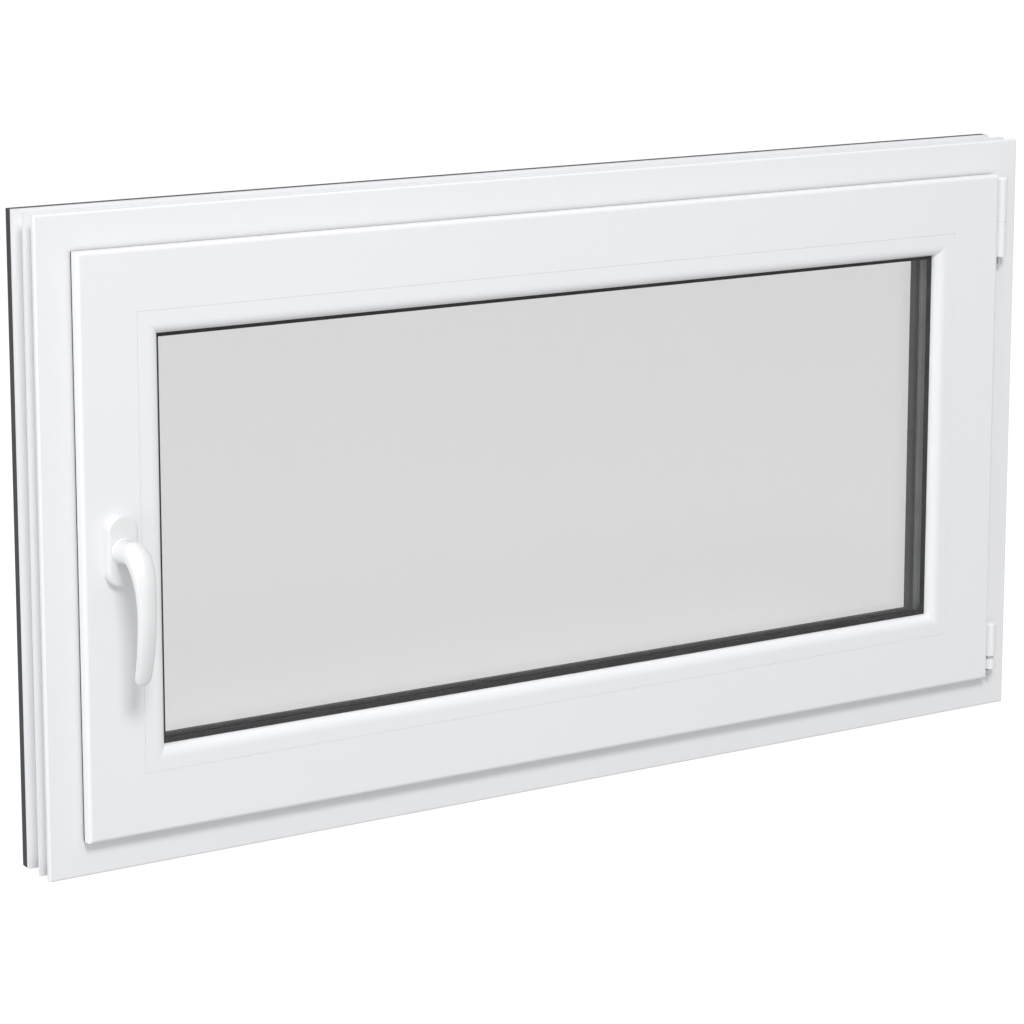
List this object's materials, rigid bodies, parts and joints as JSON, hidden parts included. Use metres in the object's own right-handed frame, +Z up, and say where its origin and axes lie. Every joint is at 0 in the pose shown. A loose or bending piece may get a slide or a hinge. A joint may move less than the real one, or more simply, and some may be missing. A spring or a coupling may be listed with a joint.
{
  "type": "casement window",
  "caption": "White tilt-and-turn casement window with a double-glazed inward-opening sash, side lever handle, corner hinges and a dark outer face.",
  "frame": {"origin": "middle of the frame's underside, on the rib between the two outer grooves, 22.5 mm behind the frame's room-side face", "axes": "+X to the right seen from the room, +Y to the outside, +Z up"},
  "size_m": [1.1, 0.1375, 0.6],
  "materials": {
    "white_pvc": "smooth white satin-gloss plastic",
    "galvanised_steel": "dull galvanised",
    "anthracite_skin": "fine-grained dark grey laminate",
    "gasket_rubber": "matt black",
    "clear_glass": "clear float glass",
    "black_sealant": "matt black",
    "spacer_grey": "dark satin",
    "packer_plastic": "moulded",
    "white_hardware": "smooth white powder coat",
    "zinc_steel": "satin zinc plated"
  },
  "bodies": {
    "frame": {"frame_bottom": "white_pvc", "frame_top": "white_pvc", "frame_left": "white_pvc", "frame_right": "white_pvc", "frame_reinforcement": "galvanised_steel", "frame_outer_skin": "anthracite_skin", "frame_gasket": "gasket_rubber", "drain_caps": "anthracite_skin", "keepers": "zinc_steel", "keeper_screws": "zinc_steel", "lower_bearing": "white_hardware", "stay_bearing": "white_hardware", "stay_pin": "zinc_steel"},
    "corner_pivot": {"corner_pivot": "zinc_steel", "corner_pivot_cover": "white_hardware"},
    "sash": {"sash_bottom": "white_pvc", "sash_top": "white_pvc", "sash_left": "white_pvc", "sash_right": "white_pvc", "sash_reinforcement": "galvanised_steel", "sash_outer_skin": "anthracite_skin", "sash_gasket": "gasket_rubber", "glazing_bead_bottom": "white_pvc", "glazing_bead_top": "white_pvc", "glazing_bead_left": "white_pvc", "glazing_bead_right": "white_pvc", "bead_gasket": "gasket_rubber", "outer_glazing_gasket": "gasket_rubber", "inner_pane": "clear_glass", "outer_pane": "clear_glass", "edge_seal": "black_sealant", "spacer_bar": "spacer_grey", "glazing_packers": "packer_plastic", "sash_corner_band": "zinc_steel", "stay_guide": "zinc_steel", "handle_base": "packer_plastic", "rosette_cover": "white_hardware", "handle_screws": "zinc_steel", "gearbox": "zinc_steel", "faceplate_left": "zinc_steel", "faceplate_top": "zinc_steel", "faceplate_bottom": "zinc_steel", "corner_drives": "zinc_steel"},
    "stay": {"stay_arm": "zinc_steel", "stay_cover": "white_hardware", "stay_stud": "zinc_steel"},
    "handle": {"handle_lever": "white_hardware", "handle_spindle": "zinc_steel", "gear_follower": "zinc_steel"},
    "left_drive": {"drive_rod_left": "zinc_steel", "cams_left": "zinc_steel"},
    "top_drive": {"drive_rod_top": "zinc_steel", "cams_top": "zinc_steel"},
    "bottom_drive": {"drive_rod_bottom": "zinc_steel", "cams_bottom": "zinc_steel"}
  },
  "joints": [
    {"name": "sash_turn", "type": "hinge", "parent": "frame", "child": "corner_pivot", "pos_m": [0.5235, -0.0305, 0.05], "axis": [0, 0, 1], "range_deg": [0, 90]},
    {"name": "sash_tilt", "type": "hinge", "parent": "corner_pivot", "child": "sash", "pos_m": [0.5035, -0.0305, 0.039], "axis": [1, 0, 0], "range_deg": [0, 8]},
    {"name": "stay_swing", "type": "hinge", "parent": "corner_pivot", "child": "stay", "pos_m": [0.5235, -0.0305, 0.55], "axis": [0, 0, 1], "range_deg": [0, 13.6]},
    {"name": "handle_turn", "type": "hinge", "parent": "sash", "child": "handle", "pos_m": [-0.482, -0.0525, 0.3], "axis": [0, -1, 0], "range_deg": [0, 180]},
    {"name": "left_rod_slide", "type": "slide", "parent": "sash", "child": "left_drive", "axis": [0, 0, -1], "range_m": [0, 0.0315]},
    {"name": "top_rod_slide", "type": "slide", "parent": "sash", "child": "top_drive", "axis": [-1, 0, 0], "range_m": [0, 0.0315]},
    {"name": "bottom_rod_slide", "type": "slide", "parent": "sash", "child": "bottom_drive", "axis": [1, 0, 0], "range_m": [0, 0.0315]}
  ],
  "couplings": [
    {"joint": "stay_swing", "follows": "sash_tilt", "ratio": 1.6938},
    {"joint": "left_rod_slide", "follows": "handle_turn", "m_per_rad": 0.01},
    {"joint": "top_rod_slide", "follows": "handle_turn", "m_per_rad": 0.01},
    {"joint": "bottom_rod_slide", "follows": "handle_turn", "m_per_rad": 0.01}
  ]
}
